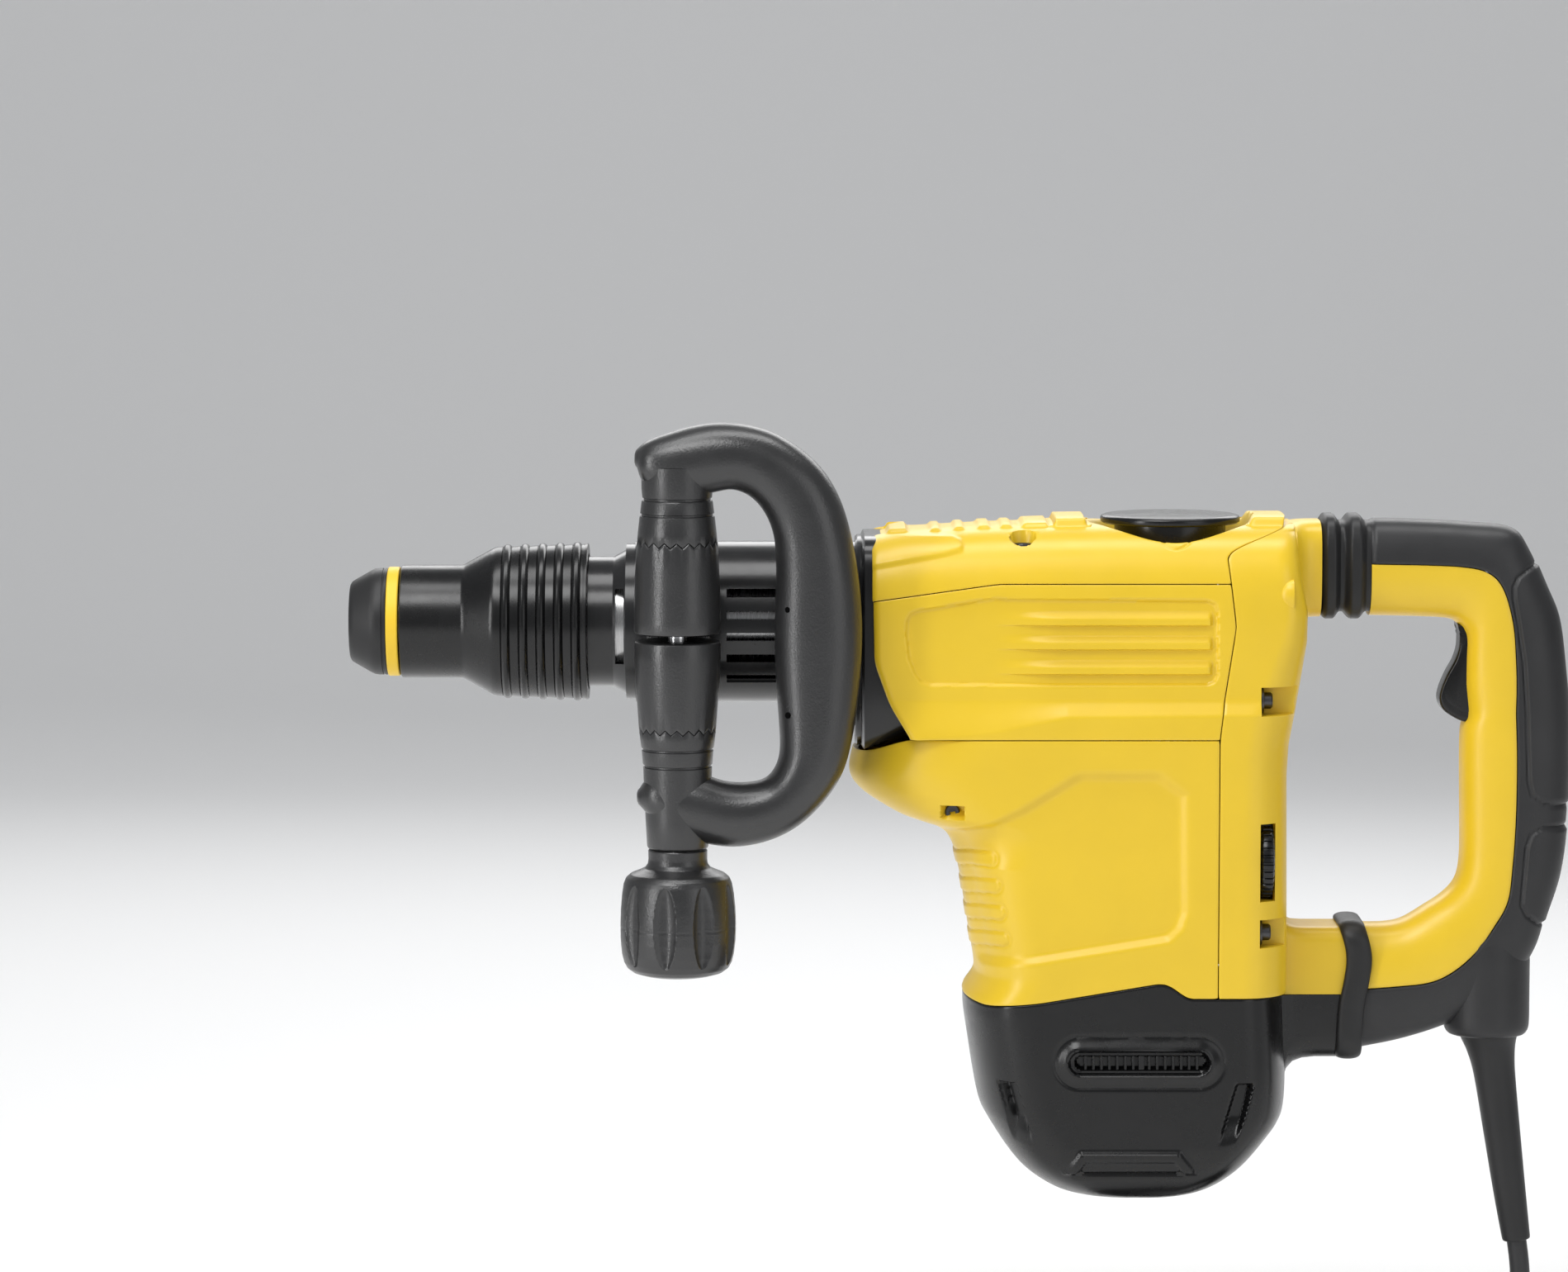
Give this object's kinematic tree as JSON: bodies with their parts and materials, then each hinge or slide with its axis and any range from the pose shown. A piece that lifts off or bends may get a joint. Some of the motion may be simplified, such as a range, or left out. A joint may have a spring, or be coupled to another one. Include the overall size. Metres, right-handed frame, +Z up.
{
  "type": "demolition hammer",
  "caption": "Electric chipping hammer with vertical motor, sprung D rear handle, swinging folding side handle, keyless lock sleeve and coiled mains lead.",
  "frame": {"origin": "centre of the tool socket's mouth, on the hammer axis", "axes": "+X from the nose to the rear handle, +Z up from the motor to the top cover, +Y to the tool's right-hand side"},
  "size_m": [0.5659, 0.2038, 0.4761],
  "materials": {
    "yellow_shell": "semi-gloss fine-textured moulded nylon",
    "black_shell": "satin moulded glass-filled nylon",
    "grey_grip": "matte grained moulding",
    "overmould": "matte soft overmould",
    "black_rubber": "moulded rubber",
    "gloss_black": "gloss black paint on cast metal",
    "case_metal": "dark painted cast magnesium",
    "ground_steel": "ground and oiled",
    "bright_steel": "zinc-plated",
    "copper": "enamelled copper",
    "carbon": "pressed carbon",
    "board": "coated circuit board",
    "cord_jacket": "rubber mains lead"
  },
  "bodies": {
    "root": {"barrel_housing": "gloss_black", "neck_flange": "gloss_black", "cylinder_liner": "ground_steel", "gear_case": "case_metal", "top_cover": "yellow_shell", "left_side_cover": "yellow_shell", "right_side_cover": "yellow_shell", "motor_housing": "yellow_shell", "rear_cover": "yellow_shell", "motor_end_cap": "black_shell", "top_cap": "black_shell", "stator_core": "ground_steel", "field_coils": "copper", "drive_bearings": "ground_steel", "brush_bridge": "black_shell", "carbon_brushes": "carbon", "fan_baffle": "black_shell", "control_board": "board", "rear_cover_screws": "bright_steel", "handle_bracket": "ground_steel", "pivot_pin": "ground_steel", "lower_strap": "black_rubber", "handle_spring": "ground_steel", "upper_bellows": "black_rubber"},
    "tool_holder": {"tool_spindle": "ground_steel", "nose_cap": "black_rubber", "retaining_ring": "yellow_shell", "index_ring": "ground_steel"},
    "roller_upper": {"lock_roller_upper": "ground_steel"},
    "roller_lower": {"lock_roller_lower": "ground_steel"},
    "sleeve": {"lock_sleeve": "black_shell", "sleeve_spring": "ground_steel"},
    "side_clamp": {"clamp_upper": "grey_grip", "clamp_lower": "grey_grip", "clamp_band": "ground_steel", "clamp_bolt": "bright_steel"},
    "side_loop": {"side_handle_loop": "grey_grip"},
    "knob": {"clamp_knob": "grey_grip"},
    "rear_handle": {"handle_left_half": "yellow_shell", "handle_right_half": "yellow_shell", "grip_overmould": "overmould", "cord_gland": "overmould", "switch_body": "black_shell", "cord_boot": "black_rubber", "power_lead": "cord_jacket", "lead_coil": "cord_jacket", "plug_body": "black_rubber", "plug_pins": "bright_steel"},
    "trigger_lever": {"trigger": "black_shell"},
    "dial": {"speed_dial": "black_shell"},
    "rotor": {"rotor_shaft": "ground_steel", "armature_core": "ground_steel", "commutator": "copper", "cooling_fan": "black_shell"},
    "crank": {"crank_gear": "ground_steel"},
    "piston_group": {"piston": "ground_steel", "connecting_rod": "ground_steel"},
    "ram": {"striker": "ground_steel"},
    "anvil": {"beat_piece": "ground_steel"}
  },
  "joints": [
    {"name": "chisel_index", "type": "hinge", "parent": "root", "child": "tool_holder", "pos_m": [0, 0, 0], "axis": [1, 0, 0], "range_deg": [-180, 180]},
    {"name": "sleeve_pull", "type": "slide", "parent": "tool_holder", "child": "sleeve", "axis": [1, 0, 0], "range_m": [0, 0.011], "stiffness_N_per_m": 2000, "springref_m": -0.004, "deforming": ["sleeve_spring"]},
    {"name": "upper_roller_release", "type": "slide", "parent": "tool_holder", "child": "roller_upper", "axis": [0, 0, 1], "range_m": [0, 0.0024]},
    {"name": "lower_roller_release", "type": "slide", "parent": "tool_holder", "child": "roller_lower", "axis": [0, 0, -1], "range_m": [0, 0.0024]},
    {"name": "side_handle_swing", "type": "hinge", "parent": "root", "child": "side_clamp", "pos_m": [0, 0, 0], "axis": [-1, 0, 0], "range_deg": [0, 180]},
    {"name": "side_handle_fold", "type": "hinge", "parent": "side_clamp", "child": "side_loop", "pos_m": [0.153, -0.062, 0], "axis": [0, 0, 1], "range_deg": [-180, 0]},
    {"name": "clamp_knob_turn", "type": "hinge", "parent": "side_clamp", "child": "knob", "pos_m": [0.153, -0.062, -0.13], "axis": [0, 0, 1], "range_deg": [0, 720]},
    {"name": "handle_damping", "type": "hinge", "parent": "root", "child": "rear_handle", "pos_m": [0.466, 0, -0.17], "axis": [0, -1, 0], "range_deg": [0, 2.4], "stiffness_Nm_per_rad": 600, "springref_deg": -0.57, "deforming": ["upper_bellows", "handle_spring", "lower_strap"]},
    {"name": "trigger_squeeze", "type": "hinge", "parent": "rear_handle", "child": "trigger_lever", "pos_m": [0.5235, 0, -0.002], "axis": [0, -1, 0], "range_deg": [0, 8], "stiffness_Nm_per_rad": 4, "springref_deg": -6.88},
    {"name": "speed_setting", "type": "hinge", "parent": "root", "child": "dial", "pos_m": [0.423, -0.0335, -0.1067], "axis": [1, 0, 0], "range_deg": [-140, 140]},
    {"name": "motor_spin", "type": "hinge", "parent": "root", "child": "rotor", "pos_m": [0.354, 0, -0.12], "axis": [0, 0, 1], "continuous": true},
    {"name": "crank_spin", "type": "hinge", "parent": "root", "child": "crank", "pos_m": [0.384, 0, -0.03], "axis": [0, 0, 1], "continuous": true},
    {"name": "piston_stroke", "type": "slide", "parent": "root", "child": "piston_group", "axis": [1, 0, 0], "range_m": [0, 0.032]},
    {"name": "striker_flight", "type": "slide", "parent": "root", "child": "ram", "axis": [1, 0, 0], "range_m": [-0.008, 0.014]},
    {"name": "beat_piece_flight", "type": "slide", "parent": "root", "child": "anvil", "axis": [1, 0, 0], "range_m": [-0.008, 0]}
  ],
  "couplings": [
    {"joint": "crank_spin", "follows": "motor_spin", "ratio": -0.2},
    {"joint": "upper_roller_release", "follows": "sleeve_pull", "ratio": 0.218},
    {"joint": "lower_roller_release", "follows": "sleeve_pull", "ratio": 0.218}
  ]
}
